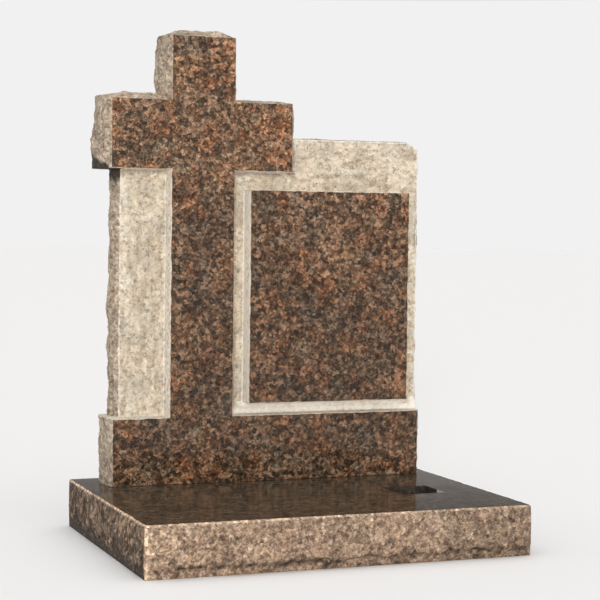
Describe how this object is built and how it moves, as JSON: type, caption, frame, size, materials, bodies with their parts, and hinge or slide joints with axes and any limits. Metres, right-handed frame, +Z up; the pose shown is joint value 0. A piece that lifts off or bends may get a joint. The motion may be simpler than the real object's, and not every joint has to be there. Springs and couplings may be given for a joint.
{
  "type": "cross gravestone",
  "caption": "Brown granite gravestone with a raised polished cross, blank inscription panel and rock-pitched edges, on a base slab with a square vase hole.",
  "frame": {"origin": "middle of the underside of the base slab", "axes": "+Z up, +X to the right seen from the front, -Y out of the polished faces towards the viewer"},
  "size_m": [0.8268, 0.6343, 1.0747],
  "materials": {
    "polished_granite": "brown granite, polished on the cross, foot band and panel, fine-punched ground, rock-pitched edges",
    "rough_granite": "brown granite, rock-pitched sides under a mirror-polished top"
  },
  "bodies": {
    "root": {"headstone": "polished_granite", "base": "rough_granite"}
  },
  "joints": []
}
